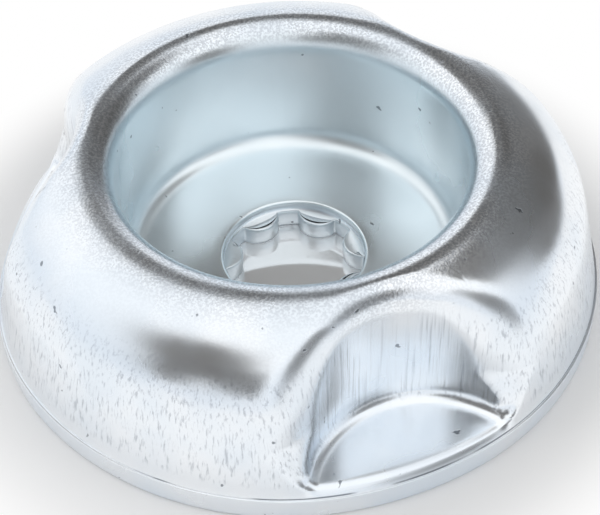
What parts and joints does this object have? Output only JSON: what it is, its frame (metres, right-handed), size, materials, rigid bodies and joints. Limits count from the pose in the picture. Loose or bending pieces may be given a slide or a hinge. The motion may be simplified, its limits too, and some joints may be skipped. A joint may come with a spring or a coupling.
{
  "type": "flange washer",
  "caption": "Pressed sheet-metal flange washer: a dished dome with scalloped seats round its edge, a deep round well and a splined hub bore.",
  "frame": {"origin": "on the washer's axis, in the plane that the rim and the hub rest on", "axes": "+Z along the axis, out of the well's mouth; the first scallop lies 50.7 degrees from +X"},
  "size_m": [0.06, 0.06, 0.0177],
  "materials": {
    "zinc_plate": "bright blue-white zinc plating over pressed steel, satin, lightly scratched"
  },
  "bodies": {
    "root": {"flange_washer": "zinc_plate"}
  },
  "joints": []
}
